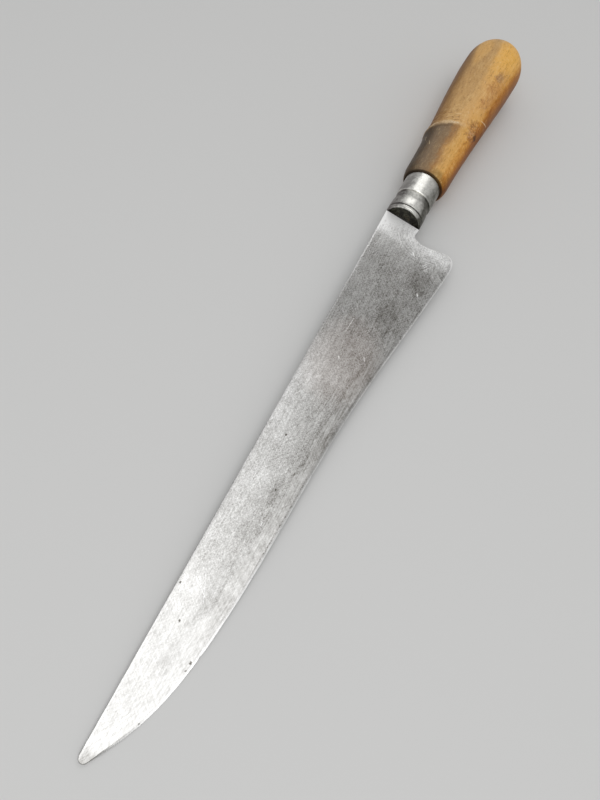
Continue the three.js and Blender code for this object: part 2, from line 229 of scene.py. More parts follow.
def face_rows(face):
    """One face of the blade (1 upper, -1 lower) as columns of points from the spine to the outline."""
    columns = []
    normals = inward_normals(outline)
    for index, p in enumerate(outline):
        inward = normals[index]
        honed = len(filed_line) <= index < len(filed_line) + len(honed_line)
        thick = half_thickness(p)
        if index == 0:
            width, land = CORNER_EASE, thick - CORNER_EASE
            inward = Vector((0, -1))
        elif index < len(filed_line):
            width, land = FILED_WIDTH, max(EDGE_LAND / 2, thick - FILED_DEPTH)
        else:
            ground = min(1, (index - len(filed_line)) / len(lobe))
            left = max(EDGE_LAND / 2, thick - FILED_DEPTH)
            honed_share = smooth((nose_start.x - p.x) / BEVEL_RUN_OUT) if honed else 0
            width = CORNER_EASE + honed_share * (HONED_WIDTH - CORNER_EASE)
            land = (1 - ground) * left + ground * EDGE_LAND / 2
        rim = worn(p, inward) if honed else p
        inner = p + width * inward
        top = spine_end(p, index)
        span = inner - top
        ease = min(CORNER_EASE, span.length / 3)
        column = []
        for step in range(EASE_STEPS):
            turn = math.pi / 2 * step / EASE_STEPS
            q = top + Vector((0, ease * (1 - math.cos(turn))))
            column.append((q, half_thickness(q) - ease * (1 - math.sin(turn))))
        first = top + Vector((0, ease))
        for row in range(FACE_ROWS + 1):
            q = first.lerp(inner, row / FACE_ROWS)
            fade = math.sin(math.pi * row / FACE_ROWS)
            column.append((q, half_thickness(q) + fade * grind(q, face)))
        column.append((rim, land))
        columns.append([Vector((q.x, q.y, face * z)) for q, z in column])
    end = columns[-1][0]
    columns[-1] = [end.copy() for _ in columns[-1]]
    shoulder = []
    for q in columns[0]:
        shoulder.append(Vector((q.x, q.y, q.z - face * CORNER_EASE)))
        q.x += CORNER_EASE
    shoulder[-1] = Vector((shoulder[-1].x, shoulder[-1].y, columns[0][-1].z))
    return [shoulder] + columns


def blade_mesh():
    upper, lower = face_rows(1), face_rows(-1)
    rows = len(upper[0])
    points = [p for column in upper for p in column]
    below = len(points)
    points += [p for column in lower for p in column]
    faces = []
    for i in range(len(upper) - 1):
        for j in range(rows - 1):
            a, b = i * rows + j, (i + 1) * rows + j
            faces.append((a, b, b + 1, a + 1))
            faces.append((below + a, below + a + 1, below + b + 1, below + b))
        spine_a, spine_b = i * rows, (i + 1) * rows
        faces.append((spine_a, below + spine_a, below + spine_b, spine_b))
        edge_a, edge_b = spine_a + rows - 1, spine_b + rows - 1
        faces.append((edge_b, below + edge_b, below + edge_a, edge_a))
    for j in range(rows - 1):
        faces.append((j + 1, below + j + 1, below + j, j))
    return points, faces


def tang_mesh():
    """The tang's flat bar, which tapers in width behind the shoulder."""
    points, faces = [], []
    stations = (
        (-TANG_LENGTH, TANG_END_WIDTH),
        (SHOULDER_X, TANG_ROOT_WIDTH),
        (SHOULDER_X + TANG_ROOT_DEPTH, TANG_ROOT_WIDTH),
    )
    for x, width in stations:
        for side, face in ((-1, -1), (1, -1), (1, 1), (-1, 1)):
            points.append(Vector((x, side * width / 2, face * TANG_THICKNESS / 2)))
    for start in (0, 4):
        for k in range(4):
            n = (k + 1) % 4
            faces.append((start + n, start + 4 + n, start + 4 + k, start + k))
    faces += [(3, 2, 1, 0), (8, 9, 10, 11)]
    return points, faces


def make_piece(name, node, points, faces, material):
    """A finished piece, standing for its CAD node. Each point keeps its place in the knife's axes."""
    mesh = bpy.data.meshes.new(name)
    mesh.from_pydata([knife @ (p * MM) for p in points], [], faces)
    on_knife = mesh.attributes.new("on_knife", "FLOAT_VECTOR", "POINT")
    on_knife.data.foreach_set("vector", np.array(points).ravel())
    piece = bpy.data.objects.new(name, mesh)
    bpy.context.scene.collection.objects.link(piece)
    weld = piece.modifiers.new("weld", "WELD")
    weld.merge_threshold = WELD_REACH * MM
    mesh.shade_smooth()
    mesh.set_sharp_from_angle(angle=SHARP_ANGLE)
    mesh.materials.append(material)
    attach(piece, "root")
    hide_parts(node)
    return piece


class Shade:
    """A value in a material's nodes. Sums on it add Math nodes, and node() adds a node of any other type."""

    def __init__(self, tree, socket=None):
        self.tree = tree
        self.socket = socket

    def node(self, kind, settings=None, inputs=None, output=None):
        made = self.tree.nodes.new("ShaderNode" + kind)
        for name, value in (settings or {}).items():
            if name == "stops":
                ramp = made.color_ramp
                while len(ramp.elements) < len(value):
                    ramp.elements.new(0.5)
                for stop, (position, tint) in zip(ramp.elements, value):
                    stop.position = position
                    stop.color = tint
            else:
                setattr(made, name, value)
        for name, value in (inputs or {}).items():
            if isinstance(name, int):
                place = made.inputs[name]
            else:
                place = next(s for s in made.inputs if s.name == name and s.enabled)
            if isinstance(value, Shade):
                self.tree.links.new(value.socket, place)
            else:
                place.default_value = value
        out = next((s for s in made.outputs if s.enabled and output in (None, s.name)), None)
        return Shade(self.tree, out)

    def math(self, operation, first, second=0.0):
        return self.node("Math", {"operation": operation}, {0: first, 1: second})

    def __add__(self, other):
        return self.math("ADD", self, other)

    __radd__ = __add__

    def __sub__(self, other):
        return self.math("SUBTRACT", self, other)

    def __rsub__(self, other):
        return self.math("SUBTRACT", other, self)

    def __mul__(self, other):
        return self.math("MULTIPLY", self, other)

    __rmul__ = __mul__

    def __truediv__(self, other):
        return self.math("DIVIDE", self, other)

    def __abs__(self):
        return self.math("ABSOLUTE", self)


def colour(red, green, blue):
    """A colour written as a screen shows it, 0 to 255, as the light values that shaders take."""
    parts = []
    for level in (red / 255, green / 255, blue / 255):
        parts.append(level / 12.92 if level <= 0.04045 else ((level + 0.055) / 1.055) ** 2.4)
    return (*parts, 1)


def new_finish(name):
    """A material, its empty node tree, and the place on the piece in the knife's axes in millimetres."""
    material = bpy.data.materials.new(name)
    material.use_nodes = True
    material.node_tree.nodes.clear()
    shade = Shade(material.node_tree)
    place = shade.node("Attribute", {"attribute_name": "on_knife"}, None, "Vector")
    return material, shade, place


def split(place):
    """The three parts of a place, as values."""
    parts = place.node("SeparateXYZ", None, {"Vector": place}).socket.node.outputs
    return [Shade(place.tree, part) for part in parts]


def step_up(value, low, high):
    """0 below low, 1 above high, and smooth between."""
    return value.node(
        "MapRange",
        {"interpolation_type": "SMOOTHSTEP"},
        {"Value": value, "From Min": low, "From Max": high},
    )


def step_down(value, low, high):
    """1 below low, 0 above high, and smooth between."""
    return 1 - step_up(value, low, high)


def within(value, start, full, fade, end):
    """1 from full to fade, 0 outside start and end, and smooth between."""
    return step_up(value, start, full) * step_down(value, fade, end)


def strongest(marks):
    most = marks[0]
    for mark in marks[1:]:
        most = most.math("MAXIMUM", most, mark)
    return most


def mix(factor, first, second):
    return factor.node("Mix", {"data_type": "RGBA"}, {"Factor": factor, "A": first, "B": second})


def place_at(x, y):
    return x.node("CombineXYZ", None, {"X": x, "Y": y})


def grain(place, scale, detail=2.0, rough=0.5, stretch=(1, 1, 1), turn=0.0, shift=(0, 0, 0)):
    """Noise from -0.5 to 0.5 with features about 1 / scale millimetres wide, stretched and turned about Z."""
    laid = place.node(
        "Mapping",
        {"vector_type": "TEXTURE"},
        {"Vector": place, "Location": shift, "Rotation": (0, 0, turn), "Scale": stretch},
    )
    inputs = {"Vector": laid, "Scale": scale, "Detail": detail, "Roughness": rough}
    return place.node("TexNoise", None, inputs) - 0.5


def spot(x, y, centre, size, soft=0.6):
    """1 inside an oval on a surface, 0 outside."""
    along = (x - centre[0]) / size[0]
    across = (y - centre[1]) / size[1]
    return step_down(along * along + across * across, 1 - soft, 1 + soft)


def scratch(x, y, start, end, width):
    """1 along a straight scratch from start to end, 0 elsewhere."""
    run, rise = end[0] - start[0], end[1] - start[1]
    length = math.hypot(run, rise)
    along = (x - start[0]) * (run / length) + (y - start[1]) * (rise / length)
    across = abs((x - start[0]) * (-rise / length) + (y - start[1]) * (run / length))
    inside = within(along, 0, width, length - width, length)
    return inside * step_down(across, width * 0.25, width * 0.75)


def finish_with(shade, inputs):
    surface = shade.node("BsdfPrincipled", None, inputs)
    shade.node("OutputMaterial", None, {"Surface": surface})


def carbon_steel():
    material, shade, place = new_finish("worn_carbon_steel")
    x, y, _ = split(place)
    from_edge = shade.node("Attribute", {"attribute_name": "from_edge"}, None, "Fac")
    from_back = shade.node("Attribute", {"attribute_name": "from_back"}, None, "Fac")
    from_spine = y - (x - SHOULDER_X) * (SPINE_DROP / BLADE_LENGTH) + SPINE_OFFSET

    # Wear in all sizes, and fine scratches from wiping and scouring in three directions.
    cloud = grain(place, 0.06, 4, 0.55)
    mottle = grain(place, 0.28, 3, 0.6)
    pepper = grain(place, 1.5, 2, 0.8)
    dust = grain(place, 2.4, 1, 0.7, shift=(31, 7, 3))
    lengthwise = grain(place, 1.5, 3, 0.7, stretch=(16, 1, 1), turn=math.radians(1.6))
    rubbed = grain(place, 1.4, 3, 0.7, stretch=(9, 1, 1), turn=math.radians(48))
    slanted = grain(place, 1.4, 3, 0.7, stretch=(9, 1, 1), turn=math.radians(-36))
    # painted highlight: the tip half is evened out and a little lighter
    tip_glare = step_up(x, 150, 215)
    honed_reach = 6.4 + mottle * 3 + cloud * 5
    honed = step_down(from_edge, honed_reach - 0.9, honed_reach + 0.9) * step_up(x, 48, 80)
    uneven = cloud * 0.34 + mottle * 0.2 + (pepper * 0.78 + dust * 0.62) * (1 - honed * 0.55)
    level = 0.5 + uneven * (1 - tip_glare * 0.6) + tip_glare * 0.04
    level = level + lengthwise * 0.5 + rubbed * 0.35 + slanted * 0.35

    # The dull middle, its stains, and the strip that honing keeps clean, with a tide line along it.
    dull = step_up(from_spine + mottle * 16, 6, 15) * step_down(from_spine + mottle * 14, 30, 40)
    level = level - dull * within(x, 14, 30, 190, 235) * 0.08
    for centre, size in STAINS:
        stain = spot(x + mottle * 12, y + mottle * 8, centre, size, 0.9)
        level = level - stain * (0.1 + pepper * 0.4)
    across = from_spine / (from_spine + from_edge) - 0.42
    level = level - across * within(x, 66, 85, 112, 130) * 0.29
    level = level + honed * 0.03
    level = level - step_down(from_edge, 2, 12) * step_up(x, 90, 130) * (1 - tip_glare) * 0.08
    honing = grain(place_at(x * 0.06, from_edge), 1.5, 3, 0.65)
    honing = honing * step_down(from_edge, 4, 10) * step_up(x, 60, 90)
    level = level + honing * 0.4
    tide = within(from_edge, honed_reach - 0.2, honed_reach + 0.5, honed_reach + 0.6, honed_reach + 2.4)
    tide_line = step_down(abs(from_edge - honed_reach), 0.1, 0.5)
    tide = tide * (0.04 + pepper * 0.1) + tide_line * (0.1 + mottle * 0.2)
    level = level - tide * within(x, 60, 84, 126, 160)
    grime = within(from_edge, 0.8, 1, 1.2, 1.7) * within(x, 126, 140, 165, 180)
    level = level - grime * step_up(pepper, -0.05, 0.1) * 0.35
    shaded = step_up(x + mottle * 10, 8, 24) * step_down(x + cloud * 40, 58, 95)
    level = level - shaded * (0.13 + cloud * 0.4)

    # The filed shoulder and heel's back, the honed bevel, and painted highlights and shade on the spine and
    # tip.
    filed_reach = 9 + mottle * 16
    filed = step_down(x, filed_reach - 8, filed_reach + 8)
    level = level + filed * (0.42 + step_down(from_spine + mottle * 6, 2, 9) * 0.2)
    level = level + step_down(x + mottle * 6, 3, 8) * 0.1
    # painted highlight: a bright line along the spine's eased corner, fading towards the tip
    spine_glint = step_down(from_spine, 0.5, 1.1) * (1 - step_up(x, 30, 80) * 0.65)
    level = level + spine_glint * 0.3
    # painted shade: the tip's last few millimetres are darker
    tip_end_shade = step_up(x + mottle * 2, 247.5, 252)
    level = level - tip_end_shade * 0.22
    strokes = grain(place_at(from_back, x * 0.05), 1.5, 3, 0.65)
    strokes = strokes * step_down(from_back, 7, 16)
    level = level + strokes * 0.9
    pits = step_up(pepper + mottle * 0.5, 0.17, 0.26)
    level = level - pits * (1 - tip_glare * 0.7) * 0.2
    # the honed bevel is lighter, partly its own finish and partly painted light; its outer line is a painted
    # highlight, and near the tip the bevel has painted shade
    run_out = step_up(x, nose_start.x - BEVEL_RUN_OUT, nose_start.x)
    bevel_width = HONED_WIDTH - run_out * (HONED_WIDTH - CORNER_EASE)
    bevel = step_down(from_edge, bevel_width * 0.9, bevel_width * 1.1)
    edge_glint = step_down(from_edge, bevel_width * 0.4, bevel_width * 0.7)
    tip_bevel_shade = bevel * step_up(x, 228, 244)
    level = level + bevel * 0.22 + edge_glint * 0.3 - tip_bevel_shade * 0.42

    # Single scratches, a scuffed patch by the heel, and small holes left by rust.
    scuffed = spot(x + mottle * 5, y + mottle * 5, (18, 20.8), (2, 1.4), 0.9)
    scuffed = scuffed * step_up(slanted + dust * 0.7, -0.04, 0.14)
    ragged_x, ragged_y = x + pepper * 0.8, y + pepper * 0.8
    scored = strongest([scratch(ragged_x, ragged_y, *mark) for mark in SCRATCHES] + [scuffed])
    level = level + scored * 0.55
    holes = strongest([spot(ragged_x, y + dust, centre, (size, size * 0.8)) for centre, size in RUST_HOLES])
    level = level - holes * 0.45

    # Pitch has blackened the shoulder's end and the tang.
    pitchy = step_down(x, SHOULDER_X + 0.05, SHOULDER_X + 0.25)
    level = level * (1 - pitchy * 0.8)
    steel = mix(level, colour(86, 82, 75), colour(250, 250, 249))
    steel = mix(pitchy * 0.85, steel, colour(34, 31, 27))
    warm = spot(x + mottle * 16, y, (80, 8), (20, 14), 0.9)
    steel = mix(warm * 0.1, steel, colour(208, 176, 160))
    rough = 0.29 - cloud * 0.1 - mottle * 0.1 + pits * 0.12 + dull * 0.05 - honed * 0.04 + filed * 0.2
    metal = 1 - filed * 0.58 - pitchy * 0.5 - scored * (1 - filed) * 0.7 - scored * filed * 0.3
    relief = mottle * 0.5 + pepper * 0.5 - pits * 0.5 - holes - scored * 0.5 + strokes * 0.6
    relief = relief + lengthwise * 0.3 + rubbed * 0.2 + slanted * 0.2
    bump = shade.node("Bump", None, {"Strength": 0.4, "Distance": 0.05 * MM, "Height": relief})
    finish_with(shade, {"Base Color": steel, "Metallic": metal, "Roughness": rough, "Normal": bump})
    return material


points, faces = blade_mesh()
tang_points, tang_faces = tang_mesh()
faces += [tuple(len(points) + k for k in face) for face in tang_faces]
blade = make_piece("blade_forging", "blade", points + tang_points, faces, carbon_steel())


def distance_to(line, mesh):
    """How far each point of a mesh lies from a line on the blade, in millimetres, seen from above."""
    where = np.array([p.vector for p in mesh.attributes["on_knife"].data])
    best = np.full(len(where), np.inf)
    for p in np.array(line):
        best = np.minimum(best, np.hypot(where[:, 0] - p[0], where[:, 1] - p[1]))
    return best


for name, line in (("from_edge", honed_line), ("from_back", filed_line + lobe)):
    worn_by = blade.data.attributes.new(name, "FLOAT", "POINT")
    worn_by.data.foreach_set("value", distance_to(line, blade.data))


# The ferrule: a sleeve of nickel silver turned on a lathe, with a rounded lip, a groove, a bead that falls
# to a cove, and a plain band over the horn's spigot. It is driven onto the horn and never taken off.
FERRULE_BORE = 8
FERRULE_LENGTH = 23.7
LIP_LENGTH, LIP_WALL, LIP_ROUND = 1.5, 1.15, 0.5
GROOVE_LENGTH, GROOVE_WALL, GROOVE_FLARE = 0.7, 0.75, 0.15
BEAD_CROWN, BEAD_WALL, BEAD_PULL = 4.4, 1.15, 0.6
COVE_WALL = 0.5
BAND_LENGTH, BAND_WALL, BAND_CHAMFER = 11.9, 1.1, 0.25
BAND_RADIUS = FERRULE_BORE + BAND_WALL
BAND_FRONT_X = BAND_LENGTH - FERRULE_LENGTH
RIM_STEPS, BEAD_STEPS, COVE_STEPS, BAND_SLICES = 6, 10, 16, 12
KNOCKS = 0.05  # how far use has dented it
KNOCK_SPAN = 5
FERRULE_SEGMENTS = 144


def turned(profile, segments, place):
    """A turned surface. profile goes (x, radius) from the front; place(x, radius, angle, k) puts each point,
    with the angle counted from the top towards the edge's side."""
    points, faces, rings = [], [], []
    for k, (x, radius) in enumerate(profile):
        if radius == 0:
            rings.append([len(points)] * segments)
            points.append(place(x, radius, 0, k))
            continue
        rings.append(list(range(len(points), len(points) + segments)))
        for i in range(segments):
            points.append(place(x, radius, 2 * math.pi * i / segments, k))
    for near, far in zip(rings, rings[1:]):
        for i in range(segments):
            n = (i + 1) % segments
            corners = (near[i], near[n], far[n], far[i])
            faces.append(tuple(dict.fromkeys(corners)))
    return points, faces


def round_about(x, radius, angle):
    return Vector((x, radius * math.sin(angle), radius * math.cos(angle)))


def ferrule_profile():
    lip, bead = FERRULE_BORE + LIP_WALL, FERRULE_BORE + BEAD_WALL
    groove, cove = FERRULE_BORE + GROOVE_WALL, FERRULE_BORE + COVE_WALL
    groove_back = -LIP_LENGTH - GROOVE_LENGTH
    half_fall = (-BEAD_CROWN - BAND_FRONT_X) / 2
    rim = arc(Vector((-LIP_ROUND, lip - LIP_ROUND)), LIP_ROUND, 0, math.pi / 2, RIM_STEPS)
    bead_front = curve(
        Vector((groove_back, groove)),
        Vector((groove_back, bead)),
        Vector((groove_back - BEAD_PULL, bead)),
        Vector((-BEAD_CROWN, bead)),
        BEAD_STEPS,
    )
    bead_back = curve(
        Vector((-BEAD_CROWN, bead)),
        Vector((-BEAD_CROWN - half_fall, bead)),
        Vector((BAND_FRONT_X + half_fall, cove)),
        Vector((BAND_FRONT_X, cove)),
        COVE_STEPS,
    )
    band_ends = (BAND_FRONT_X - BAND_CHAMFER, -FERRULE_LENGTH + BAND_CHAMFER)
    band = [Vector((x, BAND_RADIUS)) for x in np.linspace(*band_ends, BAND_SLICES)]
    line = [Vector((0, FERRULE_BORE))] + rim
    line += [Vector((-LIP_LENGTH, lip)), Vector((-LIP_LENGTH - GROOVE_FLARE, groove))]
    line += bead_front + bead_back[1:]
    line += [Vector((BAND_FRONT_X, BAND_RADIUS - BAND_CHAMFER))] + band
    line += [Vector((-FERRULE_LENGTH, BAND_RADIUS - BAND_CHAMFER)), Vector((-FERRULE_LENGTH, FERRULE_BORE))]
    return [(p.x, p.y) for p in line + [Vector((0, FERRULE_BORE))]]


def knocked(x, radius, angle, k):
    here = round_about(x, radius, angle)
    dent = KNOCKS * noise.noise(here / KNOCK_SPAN) if radius > FERRULE_BORE else 0
    return round_about(x, radius + dent, angle)


def nickel_silver():
    material, shade, place = new_finish("turned_nickel_silver")
    x, y, z = split(place)
    turn = y.math("ARCTAN2", y, z) * math.degrees(1)
    lathe = grain(place_at(x, turn * 0.01), 5, 3, 0.6)
    cloud = grain(place, 0.16, 4, 0.6)
    blotch = grain(place, 0.55, 3, 0.6, shift=(9, 2, 5))
    handled = grain(place, 0.9, 3, 0.7, stretch=(1, 1, 4), shift=(2, 9, 1))

    # The sides are painted darker than the top, as painted shade and painted reflection.
    wander = turn + cloud * 60 + blotch * 16
    on_band = step_down(x, BAND_FRONT_X - 0.2, BAND_FRONT_X)
    left = step_down(wander, on_band * 18 - 60, -18) * (0.45 + step_up(wander, -125, -70) * 0.55)
    right = step_up(wander, 12, 58) * (1 - step_up(wander, 66, 115) * 0.6)
    level = 0.87 + cloud * 0.3 + blotch * 0.7 + handled * 0.6 + lathe * 0.3 - left * 0.52 - right * 0.68
    # painted highlight: a bright line on the band's front chamfer
    band_rim = step_down(abs(x - BAND_FRONT_X + BAND_CHAMFER), 0.1, 0.5)
    level = level + band_rim * (0.12 + left * 0.3)
    level = level - (right * 0.3 + left * 0.1) * step_up(x, BAND_FRONT_X - 0.1, BAND_FRONT_X + 0.3)
    level = level + left * step_down(x, 1.5 - FERRULE_LENGTH, 4.5 - FERRULE_LENGTH) * 0.34

    # Painted shade in the cove, and the groove and small pits are darker.
    cove = step_up(x, BAND_FRONT_X - 0.05, BAND_FRONT_X + 0.15)
    cove = cove * step_down(x + blotch * 2, BAND_FRONT_X + 1, BAND_FRONT_X + 6.8)
    level = level - cove * (0.34 - right * 0.2)
    specks = step_up(blotch + lathe * 0.7 + handled * 0.4, 0.16, 0.3)
    level = level - specks * 0.24
    groove = step_down(abs(x + LIP_LENGTH + GROOVE_LENGTH / 2), 0.3, 0.7)
    level = level - groove * 0.7
    level = strongest([level, 0.07 + blotch * 0.3 + handled * 0.4])
    silver = mix(level, colour(52, 49, 44), colour(246, 245, 239))
    # the painted shade on the sides takes a grey tint on the spine's side and an olive one on the edge's side
    silver = mix(left * 0.25, silver, colour(150, 138, 140))
    silver = mix(right * 0.18, silver, colour(126, 128, 110))
    rough = 0.31 + cloud * 0.14 + blotch * 0.2 + cove * 0.1 + groove * 0.3 + left * 0.06 + right * 0.06
    relief = lathe * 0.4 + blotch * 0.3 + handled * 0.3
    bump = shade.node("Bump", None, {"Strength": 0.2, "Distance": 0.03 * MM, "Height": relief})
    finish_with(shade, {"Base Color": silver, "Metallic": 1.0, "Roughness": rough, "Normal": bump})
    return material


points, faces = turned(ferrule_profile(), FERRULE_SEGMENTS, knocked)
make_piece("ferrule_sleeve", "ferrule", points, faces, nickel_silver())


# The handle: one piece of horn, shaped and rasped to swell towards a domed butt and then polished. Its
# spigot sits in the ferrule and a blind bore takes the tang. A growth ring of the horn crosses it.
JOINT_GAP = 0.4
HORN_LENGTH = 109.2
HORN_FRONT_X = -FERRULE_LENGTH - JOINT_GAP
HORN_STEP = 0.6  # how far its front stands proud of the band
HORN_EASE_LENGTH, HORN_EASE_RISE = 6, 1.7  # the rounded start behind that front
BELLY_RADIUS = 15.5
BUTT_LENGTH = 16.5
BUTT_DROP = 0.9  # the butt leans to the edge's side
BUTT_X = HORN_FRONT_X - HORN_LENGTH
BELLY_X = BUTT_X + BUTT_LENGTH
SPIGOT_LENGTH = 13.5
SPIGOT_X = HORN_FRONT_X + SPIGOT_LENGTH
SPIGOT_RADIUS = FERRULE_BORE - SEAT_GAP
BORE_CLEAR = 3  # past the tang's end
BORE_END_X = -TANG_LENGTH - BORE_CLEAR
BORE_BED = 1.3  # between the tang's corners and the bore
RIDGE_AT = 34  # behind the horn's front
RIDGE_HEIGHT, RIDGE_SPREAD = 0.8, 3.4
RIDGE_SLANT = 3.6  # it lies further back on the edge's side
RING_HEIGHT, RING_SPREAD = 0.1, 0.5  # the crisp line on the ridge's crest
RING_WANDER, WANDER_SPAN = 0.5, 4  # how far that line strays
RING_LEAST = 0.3  # the share of it that is left on the edge's side
RASP_WAVE, RASP_SPAN = 0.1, 11  # what shaping by hand leaves
SCUFFS = (((16.8, -8.9), (19.6, -10.3), 0.2), ((21, -14), (24.4, -14.8), 0.2))  # start, end, width
MM_PER_DEGREE = 0.22  # round the horn where it is scratched
EASE_SLICES, HORN_SLICES, DOME_SLICES = 24, 230, 33
HORN_SEGMENTS = 144


def tang_half_width(x):
    taper = (TANG_ROOT_WIDTH - TANG_END_WIDTH) / (TANG_LENGTH + SHOULDER_X)
    return (TANG_ROOT_WIDTH - taper * max(0, SHOULDER_X - x)) / 2


def bore_radius(x):
    return math.hypot(tang_half_width(x), TANG_THICKNESS / 2) + BORE_BED


def horn_bend(x):
    past = max(0, (BORE_END_X - x) / (BORE_END_X - BUTT_X))
    return BUTT_DROP * past * past


def horn_profile():
    front = Vector((HORN_FRONT_X - HORN_EASE_LENGTH, BAND_RADIUS + HORN_STEP))
    start = front + Vector((0, HORN_EASE_RISE))
    belly_top = Vector((BELLY_X, BELLY_RADIUS))
    pull = Vector(((BELLY_X - start.x) / 3, 0))
    ease = []
    for turn in np.linspace(0, math.pi / 2, EASE_SLICES):
        ease.append(front + Vector((HORN_EASE_LENGTH * math.cos(turn), HORN_EASE_RISE * math.sin(turn))))
    swell = curve(start, start + pull, belly_top - pull, belly_top, HORN_SLICES)
    dome = []
    for turn in np.linspace(0, math.pi / 2, DOME_SLICES)[1:]:
        dome.append(Vector((BELLY_X - BUTT_LENGTH * math.sin(turn), BELLY_RADIUS * math.cos(turn))))
    line = [Vector((BORE_END_X, 0)), Vector((BORE_END_X, bore_radius(BORE_END_X)))]
    line += [Vector((SPIGOT_X, bore_radius(SPIGOT_X))), Vector((SPIGOT_X, SPIGOT_RADIUS))]
    line += [Vector((HORN_FRONT_X, SPIGOT_RADIUS))]
    line += ease + swell[1:] + dome[:-1]
    return [(p.x, p.y) for p in line] + [(BUTT_X, 0)]


def shaped_horn(x, radius, angle, k):
    if radius > SPIGOT_RADIUS or x < BORE_END_X:
        edgeward = math.sin(angle)
        crest = x - HORN_FRONT_X + RIDGE_AT + RIDGE_SLANT * edgeward
        here = round_about(x, radius, angle)
        wander = noise.noise(here / WANDER_SPAN) * RING_WANDER
        fade = (1 - edgeward) / 2
        ridge = fade * RIDGE_HEIGHT * math.exp(-((crest / RIDGE_SPREAD) ** 2))
        ring = RING_HEIGHT * math.exp(-(((crest + wander) / RING_SPREAD) ** 2))
        ring *= RING_LEAST + (1 - RING_LEAST) * fade
        rasp = RASP_WAVE * noise.noise(here / RASP_SPAN) * min(1, radius / BELLY_RADIUS)
        radius += ridge + ring + rasp
    p = round_about(x, radius, angle)
    p.y += horn_bend(x)
    return p


def tinted(turn, tints):
    """Colours that follow each other round the horn, placed by the turn from its top in degrees."""
    stops = [((degrees + 180) / 360, colour(*tint)) for degrees, tint in tints]
    return turn.node("ValToRGB", {"stops": stops}, {"Fac": (turn + 180) / 360})


